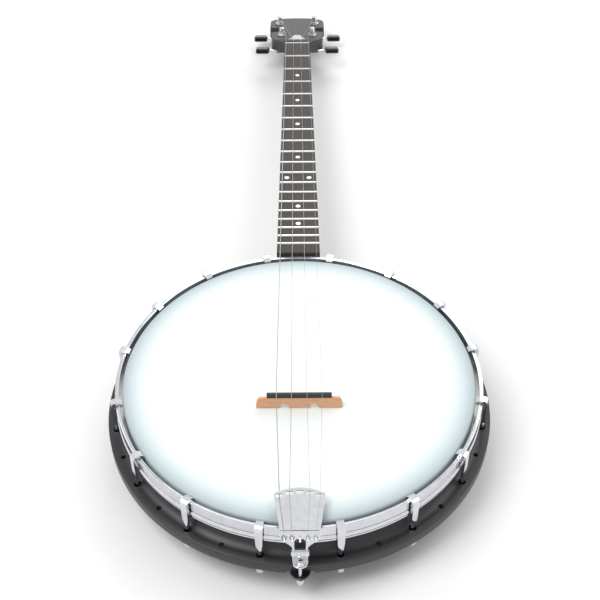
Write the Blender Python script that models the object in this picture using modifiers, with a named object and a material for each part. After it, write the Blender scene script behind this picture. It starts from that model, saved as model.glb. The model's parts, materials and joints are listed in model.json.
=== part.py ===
"""Tenor banjo: open back, moulded rim with a flange, four strings.

Metres, +Z up. The banjo lies on its back. The origin is the middle of the head's top face,
+Y runs to the peghead and +Z out of the head.
"""

import math

import bmesh
import bpy
from mathutils import Matrix, Vector

MM = 0.001
GAP = 0.3 * MM  # between pieces that run in or seat on each other
GLUE = 0.15 * MM  # between pieces that are glued or pressed together
RINGS = 52  # steps of the pot's turned pieces

# Rim and flange. Depths are counted down from the head's face.
RIM_RADIUS = 140.4 * MM
RIM_WALL = 7.0 * MM
SKIRT_INSET = 1.9 * MM
POT_DEPTH = 65.0 * MM
BEARING_ROUND = 1.6 * MM
FLANGE_REACH = 15.5 * MM
FLANGE_DEPTH = 31.0 * MM
FLANGE_THICK = 9.7 * MM
FLANGE_SWEEP = 9.6 * MM
FLANGE_EDGE = 0.8 * MM
VENT_RADIUS = 1.9 * MM

# Head, flesh hoop and tension hoop
HEAD_THICK = 0.4 * MM
COLLAR_HEIGHT = 17.0 * MM
FLESH_WIDTH = 3.8 * MM
FLESH_HEIGHT = 4.2 * MM
HOOP_SPACE = 2.8 * MM
HOOP_WALL = 3.4 * MM
HOOP_GROOVE = 0.5 * MM
HOOP_BEAD = 0.5 * MM

# Hooks and their nuts
HOOKS = 16
HOOK_WIDTH = 5.7 * MM
HOOK_THICK = 2.3 * MM
HOOK_STANDOFF = 0.9 * MM
HOOK_LIP = 2.4 * MM
HOOK_LIP_THICK = 1.8 * MM
HOOK_TAPER = 7.5 * MM
HOOK_SHAFT = 1.8 * MM
HOOK_HOLE_PLAY = 1.0 * MM
HOOK_NUT_RADIUS = 4.1 * MM
HOOK_NUT_HEIGHT = 8.3 * MM
HOOK_END = 2.0 * MM

# Rods and bolts inside the pot
ROD_RADIUS = 4.0 * MM
ROD_END_RADIUS = 3.0 * MM
ROD_DEPTH = 50.0 * MM
BOLT_DEPTH = 24.0 * MM
BOLT_GRIP = 18.0 * MM
ROD_NUT_RADIUS = 6.5 * MM
ROD_NUT_LENGTH = 5.5 * MM
ROD_WASHER_RADIUS = 8.0 * MM
ROD_WASHER_THICK = 1.4 * MM

# Strings, bridge and scale
SCALE_LENGTH = 584.2 * MM
BRIDGE_HEIGHT = 16.0 * MM
BRIDGE_Y = -33.5 * MM
BRIDGE_LENGTH = 67.0 * MM
BRIDGE_TOP_LENGTH = 63.0 * MM
BRIDGE_FOOT = 6.0 * MM
BRIDGE_TOP = 2.3 * MM
CAP_LENGTH = 50.3 * MM
CAP_HEIGHT = 4.5 * MM
ARCH_WIDTH = 7.2 * MM
ARCH_HEIGHT = 4.6 * MM
ARCH_SPACING = 23.4 * MM
STRING_RADII = (0.38 * MM, 0.26 * MM, 0.18 * MM, 0.15 * MM)
STRING_PLACES = (-1.5, -0.5, 0.5, 1.5)
BRIDGE_SPACING = 11.8 * MM
NUT_SPACING = 8.8 * MM
WINDING_TURNS = 2.0
WINDING_GAP = 0.5 * MM
TURN_POINTS = 24

# Neck, fingerboard, frets and nut
NECK_ANGLE = math.radians(2.0)
BOARD_RISE = 3.4 * MM
BOARD_THICK = 5.0 * MM
BOARD_NUT_WIDTH = 29.6 * MM
BOARD_END_WIDTH = 39.0 * MM
BOARD_PAST_NUT = 1.5 * MM
NECK_DEPTH = 15.5 * MM
HEEL_DEPTH = 55.0 * MM
HEEL_FOOT = 16.0 * MM
HEEL_LENGTH = 66.0 * MM
NECK_CLEAR = 0.5 * MM
FRETS = 19
FRET_WIDTH = 2.2 * MM
FRET_HEIGHT = 1.0 * MM
FRET_INSET = 0.3 * MM
TANG_THICK = 0.6 * MM
TANG_DEPTH = 2.0 * MM
DOT_RADIUS = 2.5 * MM
DOT_FRETS = (3, 5, 7, 10, 12, 15, 17)
DOUBLE_DOT = 12
DOUBLE_DOT_SPREAD = 11.0 * MM
TIE_WIDTH = 2.0 * MM
TIE_HEIGHT = 0.9 * MM
FRET_TIE_X = -7.0 * MM
NUT_THICK = 4.5 * MM
NUT_HEIGHT = 1.7 * MM
NUT_SLOT = 1.3 * MM
TRUSS_RADIUS = 2.6 * MM
TRUSS_NUT_RADIUS = 3.1 * MM
TRUSS_NUT_LENGTH = 12.0 * MM

# Peghead and truss rod cover
PEG_ANGLE = math.radians(13.0)
PEG_DROP = 2.7 * MM
PEG_THICK = 13.0 * MM
PEG_LENGTH = 125.0 * MM
PEG_SHOULDER = 19.0 * MM
PEG_LOWER_WIDTH = 62.0 * MM
PEG_UPPER_WIDTH = 68.0 * MM
PEG_NOTCH_START = 52.0 * MM
PEG_NOTCH_LENGTH = 21.0 * MM
PEG_NOTCH_WIDTH = 45.0 * MM
PEG_CORNER_SETBACK = 20.0 * MM
COVER_WIDTH = 21.0 * MM
COVER_LENGTH = 24.0 * MM
COVER_START = 7.0 * MM
COVER_THICK = 1.2 * MM

# Tuners, each in a frame with z along its post and x along its worm shaft
TUNERS = ((-1, 0), (-1, 1), (1, 1), (1, 0))
LOWER_POST = (18.5 * MM, 32.5 * MM)
UPPER_POST = (22.2 * MM, 91.0 * MM)
GEAR_TEETH = 14
GEAR_PITCH_RADIUS = 4.8 * MM
WORM_PITCH_RADIUS = 2.2 * MM
TOOTH_OUT = 0.5 * MM
TOOTH_IN = 0.8 * MM
TOOTH_HALF = 0.28 * MM
GEAR_THICK = 3.0 * MM
WORM_TURNS = 2.5
WORM_STEPS = 8
SHAFT_RADIUS = 1.2 * MM
POST_RADIUS = 2.8 * MM
POST_CAP_RADIUS = 3.4 * MM
POST_HEIGHT = 10.6 * MM
BUSH_RADIUS = 4.3 * MM
BUSH_NUT_RADIUS = 4.9 * MM
BUSH_NUT_HEIGHT = 1.9 * MM
WASHER_RADIUS = 5.6 * MM
WASHER_THICK = 0.9 * MM
HOUSING_WALL = 1.0 * MM
HOUSING_EAR = 7.0 * MM
BUTTON_START = 16.0 * MM
BUTTON_LENGTH = 16.5 * MM
BUTTON_WIDTH = 12.0 * MM
BUTTON_THICK = 6.5 * MM
BUTTON_ROUND = 1.4 * MM
BUTTON_BORE = 9.0 * MM

# Tailpiece
PLATE_FRONT = 116.0 * MM
PLATE_BACK = 152.5 * MM
PLATE_FRONT_WIDTH = 37.0 * MM
PLATE_BACK_WIDTH = 28.4 * MM
PLATE_CROWN = 5.2 * MM
PLATE_TOP = 8.0 * MM
PLATE_THICK = 1.2 * MM
LOUVRE_SPACING = 7.3 * MM
LOUVRE_WIDTH = 4.8 * MM
LOUVRE_LENGTH = 3.0 * MM
LOUVRE_SETBACK = 4.0 * MM
BASE_THICK = 1.6 * MM
LEG_OUT = 8.4 * MM
LEG_WIDTH = 11.2 * MM
WINDOW_WIDTH = 8.0 * MM
WINDOW_HEIGHT = 13.5 * MM
WINDOW_TOP = 2.9 * MM
BEAD_HEIGHT = 5.0 * MM
FOOT_DEPTH = 24.0 * MM
FOOT_LENGTH = 5.6 * MM
PRONG_SPACING = 5.5 * MM
PRONG_RADIUS = 0.9 * MM
PRONG_LENGTH = 3.4 * MM
PRONG_HEIGHT = 4.6 * MM
BRACKET_WIDTH = 15.0 * MM
BRACKET_THICK = 2.0 * MM
BRACKET_REACH = 6.4 * MM
BRACKET_LEG = 17.0 * MM
NOTCH_WIDTH = 21.0 * MM
TAIL_BOLT_RADIUS = 1.45 * MM
TAIL_HEAD_RADIUS = 2.6 * MM
TAIL_HEAD_HEIGHT = 2.2 * MM
TAIL_NUT_RADIUS = 3.2 * MM
TAIL_NUT_HEIGHT = 8.5 * MM

# What follows from the sizes above
SKIRT_RADIUS = RIM_RADIUS - SKIRT_INSET
RIM_INNER = RIM_RADIUS - RIM_WALL
FLANGE_RADIUS = RIM_RADIUS + FLANGE_REACH
FLANGE_FLOOR = FLANGE_DEPTH + FLANGE_THICK
COLLAR_RADIUS = RIM_RADIUS + GAP + HEAD_THICK
FLESH_INNER = COLLAR_RADIUS + GAP
FLESH_OUTER = FLESH_INNER + FLESH_WIDTH
FLESH_FLOOR = COLLAR_HEIGHT - HEAD_THICK - GAP
HOOP_INNER = COLLAR_RADIUS + HOOP_SPACE
HOOP_OUTER = HOOP_INNER + HOOP_WALL
HOOP_STEP = FLESH_FLOOR - FLESH_HEIGHT - GAP
HOOK_FACE = HOOP_OUTER + HOOK_STANDOFF
HOOK_RADIUS = HOOK_FACE + HOOK_THICK / 2
NUT_LEVEL = BOARD_RISE - 0.4 * MM
LEG_Y = -(HOOP_OUTER + LEG_OUT)
BRACKET_CEILING = FLANGE_FLOOR - BRACKET_THICK - GAP
TAIL_BOLT_Y = LEG_Y - BASE_THICK / 2 - GAP - TAIL_HEAD_RADIUS
CENTRES = GEAR_PITCH_RADIUS + WORM_PITCH_RADIUS
WORM_PITCH = 2 * math.pi * GEAR_PITCH_RADIUS / GEAR_TEETH
THREAD_START = -WORM_PITCH * (0.25 + WORM_TURNS // 2)
WORM_RADIUS = WORM_PITCH_RADIUS + TOOTH_OUT
WORM_CORE = WORM_PITCH_RADIUS - TOOTH_IN
WORM_LEVEL = -PEG_THICK - 0.4 * MM - WORM_RADIUS
POST_BORE = POST_RADIUS + GAP
BUSH_TOP = GAP + WASHER_THICK + BUSH_NUT_HEIGHT


def nut_place():
    """The neck frame's y and z: the fingerboard's face under the zero fret."""
    y = BRIDGE_Y + SCALE_LENGTH
    for _ in range(8):
        z = BOARD_RISE - (y - board_end()) * math.tan(NECK_ANGLE)
        drop = BRIDGE_HEIGHT - z - FRET_HEIGHT
        y = BRIDGE_Y + math.sqrt(SCALE_LENGTH**2 - drop**2)
    return y, z


def board_end():
    """World y where the fingerboard meets the tension hoop."""
    return HOOP_OUTER + NECK_CLEAR


def clear_scene():
    for obj in list(bpy.data.objects):
        bpy.data.objects.remove(obj, do_unlink=True)


def new_collection(name):
    group = bpy.data.collections.new(name)
    bpy.context.scene.collection.children.link(group)
    return group


def new_material(name, color, roughness, metallic=0.0):
    made = bpy.data.materials.new(name)
    made.use_nodes = True
    shader = made.node_tree.nodes["Principled BSDF"]
    shader.inputs["Base Color"].default_value = (*color, 1.0)
    shader.inputs["Roughness"].default_value = roughness
    shader.inputs["Metallic"].default_value = metallic
    made.diffuse_color = (*color, 1.0)
    return made


clear_scene()
PARTS = new_collection("tenor_banjo")
CUTTERS = new_collection("cutters")
FRAMES = new_collection("frames")
BLACK_PLASTIC = new_material("black_plastic", (0.012, 0.012, 0.013), 0.38)
HEAD_FILM = new_material("head_film", (0.86, 0.9, 0.89), 0.45)
CHROME = new_material("chrome", (0.72, 0.73, 0.74), 0.12, 1.0)
STEEL = new_material("steel", (0.55, 0.55, 0.54), 0.3, 1.0)
BLACK_STEEL = new_material("black_steel", (0.02, 0.02, 0.02), 0.3, 1.0)
BLACK_LACQUER = new_material("black_lacquer", (0.02, 0.02, 0.022), 0.42)
BLACK_WOOD = new_material("black_wood", (0.025, 0.024, 0.023), 0.6)
MAPLE = new_material("maple", (0.72, 0.46, 0.27), 0.5)
NICKEL = new_material("nickel_silver", (0.6, 0.59, 0.55), 0.25, 1.0)
PEARL = new_material("white_pearloid", (0.8, 0.8, 0.78), 0.3)
BLACK_NUT = new_material("black_bone", (0.02, 0.02, 0.02), 0.4)
GREY_PLASTIC = new_material("grey_plastic", (0.5, 0.51, 0.52), 0.4)


def smooth(mesh):
    mesh.shade_smooth()
    mesh.set_sharp_from_angle(angle=math.radians(32))


def add_object(name, mesh, material=None, parent=None, group=PARTS):
    """An object in its collection. One with no material is a cutter or a piece to join."""
    obj = bpy.data.objects.new(name, mesh)
    if material is None:
        group = CUTTERS
        obj.hide_render = True
        obj.display_type = "WIRE"
    elif not mesh.materials:
        mesh.materials.append(material)
    group.objects.link(obj)
    obj.parent = parent
    return obj


def from_bmesh(name, bm, material=None, parent=None):
    bmesh.ops.recalc_face_normals(bm, faces=bm.faces)
    mesh = bpy.data.meshes.new(name)
    bm.to_mesh(mesh)
    bm.free()
    smooth(mesh)
    return add_object(name, mesh, material, parent)


def turned(name, profile, steps=RINGS, closed=True, material=None, parent=None):
    """A turned piece. The profile's (radius, height) points run down its outer side."""
    mesh = bpy.data.meshes.new(name)
    count = len(profile)
    edges = [(i, (i + 1) % count) for i in range(count if closed else count - 1)]
    mesh.from_pydata([(r, 0.0, z) for r, z in profile], edges, [])
    obj = add_object(name, mesh, material, parent)
    screw = obj.modifiers.new("turn", "SCREW")
    screw.steps = steps
    screw.render_steps = steps
    screw.use_merge_vertices = True
    screw.merge_threshold = 0.00001
    screw.use_normal_calculate = False
    return obj


def box(name, low, high, material=None, parent=None):
    bm = bmesh.new()
    bmesh.ops.create_cube(bm, size=1.0)
    low, high = Vector(low), Vector(high)
    bmesh.ops.scale(bm, vec=high - low, verts=bm.verts)
    bmesh.ops.translate(bm, vec=(low + high) / 2, verts=bm.verts)
    return from_bmesh(name, bm, material, parent)


def add_rod(bm, start, end, radius, sides):
    """A cylinder from start to end inside bm."""
    start, end = Vector(start), Vector(end)
    turn = (end - start).to_track_quat("Z", "Y").to_matrix().to_4x4()
    place = Matrix.Translation((start + end) / 2) @ turn
    bmesh.ops.create_cone(
        bm,
        cap_ends=True,
        segments=sides,
        radius1=radius,
        radius2=radius,
        depth=(end - start).length,
        matrix=place,
    )


def rods(name, lines, radius, sides=12, material=None, parent=None):
    bm = bmesh.new()
    for start, end in lines:
        add_rod(bm, start, end, radius, sides)
    return from_bmesh(name, bm, material, parent)


def boxes(name, corners, parent=None):
    """Several loose boxes in one cutter."""
    bm = bmesh.new()
    for low, high in corners:
        low, high = Vector(low), Vector(high)
        made = bmesh.ops.create_cube(bm, size=1.0)["verts"]
        bmesh.ops.scale(bm, vec=high - low, verts=made)
        bmesh.ops.translate(bm, vec=(low + high) / 2, verts=made)
    return from_bmesh(name, bm, None, parent)


def plate(name, outline, low, high, material=None, parent=None):
    """A flat outline in x and y, filled and given its thickness from low to high."""
    curve = bpy.data.curves.new(name, "CURVE")
    curve.dimensions = "2D"
    curve.fill_mode = "BOTH"
    curve.extrude = (high - low) / 2
    spline = curve.splines.new("POLY")
    spline.points.add(len(outline) - 1)
    for point, (x, y) in zip(spline.points, outline):
        point.co = (x, y, 0.0, 1.0)
    spline.use_cyclic_u = True
    drawn = bpy.data.objects.new(name + "_outline", curve)
    bpy.context.scene.collection.objects.link(drawn)
    graph = bpy.context.evaluated_depsgraph_get()
    mesh = bpy.data.meshes.new_from_object(drawn.evaluated_get(graph))
    bpy.data.objects.remove(drawn)
    bm = bmesh.new()
    bm.from_mesh(mesh)
    bmesh.ops.remove_doubles(bm, verts=bm.verts, dist=0.000001)
    bmesh.ops.translate(bm, vec=(0.0, 0.0, (low + high) / 2), verts=bm.verts)
    bpy.data.meshes.remove(mesh)
    return from_bmesh(name, bm, material, parent)


def loft(name, sections, material=None, parent=None):
    """Closed sections of equal count, joined in order and capped."""
    bm = bmesh.new()
    loops = [[bm.verts.new(p) for p in section] for section in sections]
    for one, two in zip(loops, loops[1:]):
        for i in range(len(one)):
            j = (i + 1) % len(one)
            bm.faces.new((one[i], one[j], two[j], two[i]))
    bm.faces.new(loops[0])
    bm.faces.new(reversed(loops[-1]))
    return from_bmesh(name, bm, material, parent)


def boolean(obj, operation, *others):
    for other in others:
        step = obj.modifiers.new(other.name, "BOOLEAN")
        step.operation = operation
        step.object = other
        step.solver = "EXACT"
    return obj


def cut(obj, *cutters):
    return boolean(obj, "DIFFERENCE", *cutters)


def join(obj, *pieces):
    return boolean(obj, "UNION", *pieces)


def settle(obj):
    """Puts what the modifiers make into the object's own mesh, so that copies can share it."""
    bpy.context.view_layer.update()
    graph = bpy.context.evaluated_depsgraph_get()
    mesh = bpy.data.meshes.new_from_object(obj.evaluated_get(graph))
    mesh.name = obj.name
    obj.modifiers.clear()
    obj.data = mesh
    smooth(mesh)
    return obj


def copy_of(obj, name, parent=None, place=None):
    twin = bpy.data.objects.new(name, obj.data)
    PARTS.objects.link(twin)
    twin.parent = parent
    if place is not None:
        twin.matrix_local = place
    return twin


def frame_at(name, place, parent=None):
    empty = bpy.data.objects.new(name, None)
    empty.empty_display_size = 0.01
    FRAMES.objects.link(empty)
    empty.parent = parent
    empty.matrix_local = place
    return empty


def arc(centre, radius, start, end, count):
    """Points on an arc between two angles in degrees."""
    points = []
    for i in range(count + 1):
        a = math.radians(start + (end - start) * i / count)
        points.append((centre[0] + radius * math.cos(a), centre[1] + radius * math.sin(a)))
    return points


def mirrored(half):
    """A closed outline from its right half, given from bottom to top."""
    return list(half) + [(-x, y) for x, y in reversed(half) if x > 0.00001]


def rim_outside():
    """The rim's outer side from the bearing edge down to its foot, as (radius, z)."""
    top = -HEAD_THICK - GAP
    points = arc((RIM_RADIUS - BEARING_ROUND, top - BEARING_ROUND), BEARING_ROUND, 90, 0, 2)
    sweep = (RIM_RADIUS + FLANGE_SWEEP, -FLANGE_DEPTH + FLANGE_SWEEP)
    points += arc(sweep, FLANGE_SWEEP, 180, 270, 3)
    points += [
        (FLANGE_RADIUS - FLANGE_EDGE, -FLANGE_DEPTH),
        (FLANGE_RADIUS, -FLANGE_DEPTH - FLANGE_EDGE),
        (FLANGE_RADIUS, -FLANGE_FLOOR),
        (SKIRT_RADIUS, -FLANGE_FLOOR),
        (SKIRT_RADIUS, -POT_DEPTH),
    ]
    return points


def hook_angles():
    return [math.radians((i + 0.5) * 360 / HOOKS) for i in range(HOOKS)]


def around(radius, angle, z):
    return (radius * math.sin(angle), -radius * math.cos(angle), z)


def make_rim():
    inner_top = -HEAD_THICK - GAP - BEARING_ROUND
    profile = rim_outside() + [(RIM_INNER, -POT_DEPTH), (RIM_INNER, inner_top)]
    rim = turned("rim", profile, material=BLACK_PLASTIC)
    low, high = -FLANGE_FLOOR - GAP, -FLANGE_DEPTH + FLANGE_SWEEP
    hooks = [(around(HOOK_RADIUS, a, low), around(HOOK_RADIUS, a, high)) for a in hook_angles()]
    vents = []
    for i in range(HOOKS):
        angle = 2 * math.pi * i / HOOKS
        if 0 < i < HOOKS and i != HOOKS // 2:
            vents.append((around(HOOK_RADIUS, angle, low), around(HOOK_RADIUS, angle, high)))
    holes = rods("rim_hook_holes", hooks, HOOK_SHAFT + HOOK_HOLE_PLAY, 8)
    vent_holes = rods("rim_vent_holes", vents, VENT_RADIUS, 6)
    bolts = rods("rim_bolt_holes", wall_bolt_lines(), ROD_END_RADIUS + 2 * GAP, 10)
    notch = box(
        "rim_bracket_notch",
        (-NOTCH_WIDTH / 2, -FLANGE_RADIUS - GAP, -FLANGE_FLOOR - GAP),
        (NOTCH_WIDTH / 2, -SKIRT_RADIUS, -BRACKET_CEILING),
    )
    return settle(cut(rim, holes, vent_holes, bolts, notch))


def wall_bolt_lines():
    """Centre lines of the three holes that go through the rim's wall."""
    near, far = RIM_INNER - RIM_WALL, FLANGE_RADIUS + RIM_WALL
    return [
        ((0, near, -BOLT_DEPTH), (0, far, -BOLT_DEPTH)),
        ((0, near, -ROD_DEPTH), (0, far, -ROD_DEPTH)),
        ((0, -near, -ROD_DEPTH), (0, -far, -ROD_DEPTH)),
    ]


def make_head():
    inner = COLLAR_RADIUS - HEAD_THICK
    roll = BEARING_ROUND + GAP + HEAD_THICK
    centre = (COLLAR_RADIUS - roll, -roll)
    outside = arc(centre, roll, 90, 0, 2)
    inside = arc(centre, roll - HEAD_THICK, 0, 90, 2)
    profile = [(0.0, 0.0), *outside]
    profile += [(COLLAR_RADIUS, HEAD_THICK - COLLAR_HEIGHT)]
    profile += [(FLESH_OUTER, HEAD_THICK - COLLAR_HEIGHT)]
    profile += [(FLESH_OUTER, -COLLAR_HEIGHT), (inner, -COLLAR_HEIGHT)]
    profile += [*inside, (0.0, -HEAD_THICK)]
    return turned("head", profile, closed=False, material=HEAD_FILM)


def make_hoops():
    low, high = -FLESH_FLOOR, FLESH_HEIGHT - FLESH_FLOOR
    flesh = [(FLESH_OUTER, high), (FLESH_OUTER, low), (FLESH_INNER, low), (FLESH_INNER, high)]
    turned("flesh_hoop", flesh, material=STEEL)
    middle = (HOOP_INNER + HOOP_OUTER) / 2
    face = HOOP_OUTER - HOOP_BEAD
    skirt = FLESH_OUTER + GAP
    profile = [
        (middle, -HOOP_GROOVE),
        (middle + HOOP_GROOVE, 0.0),
        (face, 0.0),
        (face, -COLLAR_HEIGHT / 2),
        (HOOP_OUTER, -COLLAR_HEIGHT / 2 - HOOP_BEAD),
        (HOOP_OUTER, -COLLAR_HEIGHT + HOOP_BEAD),
        (face, -COLLAR_HEIGHT),
        (skirt, -COLLAR_HEIGHT),
        (skirt, -HOOP_STEP),
        (HOOP_INNER, -HOOP_STEP),
        (HOOP_INNER, 0.0),
        (middle - HOOP_GROOVE, 0.0),
    ]
    return turned("tension_hoop", profile, material=CHROME)


def strip_sections(stations):
    """Four-cornered sections of a bent strip from (y, z, half width, ny, nz, half thickness)."""
    sections = []
    for y, z, half, ny, nz, thick in stations:
        out = (y + ny * thick, z + nz * thick)
        back = (y - ny * thick, z - nz * thick)
        sections.append(
            [(-half, *out), (half, *out), (half, *back), (-half, *back)]
        )
    return sections


def make_hooks():
    half = HOOK_WIDTH / 2
    lip = HOOP_INNER * math.cos(math.pi / RINGS) - GAP - HOOK_LIP_THICK / 2
    outer = HOOK_RADIUS
    top = GAP + HOOK_THICK / 2
    bend = HOOK_THICK / 2
    slope = math.sqrt(0.5)
    leg_end = COLLAR_HEIGHT - GAP
    shaft = HOOK_SHAFT * 0.9
    stations = [
        (-lip, -HOOK_LIP, half, 1, 0, HOOK_LIP_THICK / 2),
        (-lip, top - bend, half, 1, 0, HOOK_LIP_THICK / 2),
        (-lip - bend * 1.6, top, half, 0, 1, bend),
        (-outer + bend * 1.2, top, half, 0, 1, bend),
        (-outer + bend * 0.3, top - bend * 0.3, half, -slope, slope, bend),
        (-outer, top - bend * 1.4, half, -1, 0, bend),
        (-outer, -leg_end, half * 0.92, -1, 0, bend),
        (-outer, -leg_end - HOOK_TAPER, shaft, -1, 0, shaft),
    ]
    claw = loft("hook_01", strip_sections(stations), CHROME)
    nut_top = -FLANGE_FLOOR - GAP
    nut_low = nut_top - HOOK_NUT_HEIGHT
    profile = [
        (0.0, -leg_end - HOOK_TAPER * 0.6),
        (HOOK_SHAFT, -leg_end - HOOK_TAPER),
        (HOOK_SHAFT, nut_top),
        (HOOK_NUT_RADIUS, nut_top),
        (HOOK_NUT_RADIUS, nut_low),
        (HOOK_SHAFT, nut_low),
        (HOOK_SHAFT, nut_low - HOOK_END),
        (0.0, nut_low - HOOK_END),
    ]
    stem = turned("hook_stem", profile, steps=6, closed=False)
    stem.location = (0.0, -outer, 0.0)
    settle(join(claw, stem))
    for i, angle in enumerate(hook_angles()):
        place = Matrix.Rotation(angle, 4, "Z")
        if i == 0:
            claw.matrix_local = place
        else:
            copy_of(claw, f"hook_{i + 1:02d}", place=place)


def lying(obj, z):
    """Turns a piece made along z so that it lies along y at this depth."""
    obj.matrix_local = Matrix.Translation((0, 0, z)) @ Matrix.Rotation(math.radians(90), 4, "X")
    return obj


def nut_and_washer(start):
    """Profile points of a washer against the wall, then a nut, running on from start."""
    return [
        (ROD_WASHER_RADIUS, start),
        (ROD_WASHER_RADIUS, start - ROD_WASHER_THICK),
        (ROD_NUT_RADIUS, start - ROD_WASHER_THICK),
        (ROD_NUT_RADIUS, start - ROD_WASHER_THICK - ROD_NUT_LENGTH),
    ]


def make_pot_rods():
    """The lying profiles run from +z, which points to the tail, to -z at the heel."""
    wall = RIM_INNER - RIM_INNER * (1 - math.cos(math.pi / RINGS)) - 2 * GAP
    heel_end = -(SKIRT_RADIUS + BOLT_GRIP)
    leg_face = SKIRT_RADIUS + GAP + BRACKET_THICK
    tail_end = leg_face + GAP + ROD_WASHER_THICK + ROD_NUT_LENGTH + 2 * GAP
    collar = nut_and_washer(wall)
    mirror = [(r, -z) for r, z in reversed(collar)]
    profile = [(0.0, tail_end), (ROD_END_RADIUS, tail_end), (ROD_END_RADIUS, wall), *collar]
    profile += [(ROD_RADIUS, collar[-1][1]), (ROD_RADIUS, -collar[-1][1]), *mirror]
    profile += [(ROD_END_RADIUS, -wall), (ROD_END_RADIUS, heel_end), (0.0, heel_end)]
    rod = turned("coordinator_rod", profile, steps=10, closed=False, material=STEEL)
    lying(rod, -ROD_DEPTH)

    bore = ROD_END_RADIUS + GLUE
    seat = leg_face + GAP
    crown = seat + ROD_WASHER_THICK
    end = crown + ROD_NUT_LENGTH
    ring = [
        (ROD_NUT_RADIUS, end),
        (ROD_NUT_RADIUS, crown),
        (ROD_WASHER_RADIUS * 0.92, crown),
        (ROD_WASHER_RADIUS * 0.92, seat),
        (bore, seat),
        (bore, end),
    ]
    lying(turned("rod_tail_nut", ring, steps=10, material=STEEL), -ROD_DEPTH)

    head = nut_and_washer(wall)
    inner_end = head[-1][1] - 2 * ROD_WASHER_THICK
    profile = [(0.0, -inner_end), (ROD_END_RADIUS, -inner_end)]
    profile += [(ROD_END_RADIUS, -head[-1][1])]
    profile += [(r, -z) for r, z in reversed(head)]
    profile += [(ROD_END_RADIUS, -wall), (ROD_END_RADIUS, heel_end), (0.0, heel_end)]
    bolt = turned("neck_bolt", profile, steps=10, closed=False, material=STEEL)
    lying(bolt, -BOLT_DEPTH)


def board_width(y):
    """Fingerboard width at y in the neck frame, where the zero fret is at 0."""
    return BOARD_NUT_WIDTH + (BOARD_END_WIDTH - BOARD_NUT_WIDTH) * y / board_start()


def board_start():
    """Neck-frame y of the fingerboard's end at the pot."""
    return (board_end() - nut_place()[0]) / math.cos(NECK_ANGLE)


def fret_y(number):
    return -SCALE_LENGTH * (1 - 2 ** (-number / 12))


def neck_section(y, top, half, depth, power, sides=10):
    """A neck section: flat on top and rounded below."""
    points = []
    for i in range(sides + 1):
        a = math.pi * i / sides
        x = math.copysign(abs(math.cos(a)) ** (2 / power), math.cos(a))
        z = abs(math.sin(a)) ** (2 / power)
        points.append((half * x, y, top - depth * z))
    return points


def heel_depth(along):
    """Neck depth at a distance from the pot's wall."""
    if along >= HEEL_LENGTH:
        return NECK_DEPTH + 1.5 * MM * max(0.0, 1 - (along - HEEL_LENGTH) / (4 * HEEL_LENGTH))
    fall = max(0.0, (along - HEEL_FOOT) / (HEEL_LENGTH - HEEL_FOOT))
    shape = (0.5 + 0.5 * math.cos(math.pi * fall)) ** 1.6
    thin = NECK_DEPTH + 1.5 * MM
    return thin + (HEEL_DEPTH - thin) * shape


def peg_outline():
    """The peghead's outline: shoulders, lower lobe, side notches and upper lobe."""
    lower, upper = PEG_LOWER_WIDTH / 2, PEG_UPPER_WIDTH / 2
    notch = PEG_NOTCH_WIDTH / 2
    notch_end = PEG_NOTCH_START + PEG_NOTCH_LENGTH
    corner = PEG_LENGTH - PEG_CORNER_SETBACK
    soft = 2.0 * MM
    half = [
        (BOARD_NUT_WIDTH / 2, 0.0),
        (lower - soft, PEG_SHOULDER - soft),
        (lower, PEG_SHOULDER + soft),
        (lower + 0.5 * soft, PEG_NOTCH_START - 1.5 * soft),
        (lower - 0.5 * soft, PEG_NOTCH_START - 0.3 * soft),
        (notch + soft, PEG_NOTCH_START + 0.7 * soft),
        (notch, PEG_NOTCH_START + 2 * soft),
        (notch, notch_end - 1.5 * soft),
        (notch + soft, notch_end - 0.3 * soft),
        (upper - soft, notch_end),
        (upper, notch_end + soft),
        (upper, corner),
    ]
    steps = 5
    for i in range(1, steps + 1):
        a = math.radians(90 * i / steps)
        half.append((upper * math.cos(a) ** 0.8, corner + PEG_CORNER_SETBACK * math.sin(a)))
    return mirrored(half)


def rim_keep_out():
    """What the heel is cut back from: the hoop, the rim and its flange, with their clearance."""
    wide = NECK_CLEAR / 2
    outline = [(HOOP_OUTER + NECK_CLEAR, BOARD_RISE + BOARD_THICK)]
    outline += [(HOOP_OUTER + NECK_CLEAR, -COLLAR_HEIGHT - wide)]
    outline += [(RIM_RADIUS + wide, -COLLAR_HEIGHT - wide)]
    body = rim_outside()[4:]
    for r, z in body[:-4]:
        outline.append((r + wide, z + wide))
    outline += [(FLANGE_RADIUS + wide, -FLANGE_DEPTH + wide - FLANGE_EDGE)]
    outline += [(FLANGE_RADIUS + wide, -FLANGE_FLOOR - wide)]
    outline += [(SKIRT_RADIUS + wide, -FLANGE_FLOOR - wide)]
    outline += [(SKIRT_RADIUS + wide, -POT_DEPTH - HEEL_FOOT)]
    inner = RIM_INNER / 2
    outline += [(inner, -POT_DEPTH - HEEL_FOOT), (inner, BOARD_RISE + BOARD_THICK)]
    return turned("heel_keep_out", outline)


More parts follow.
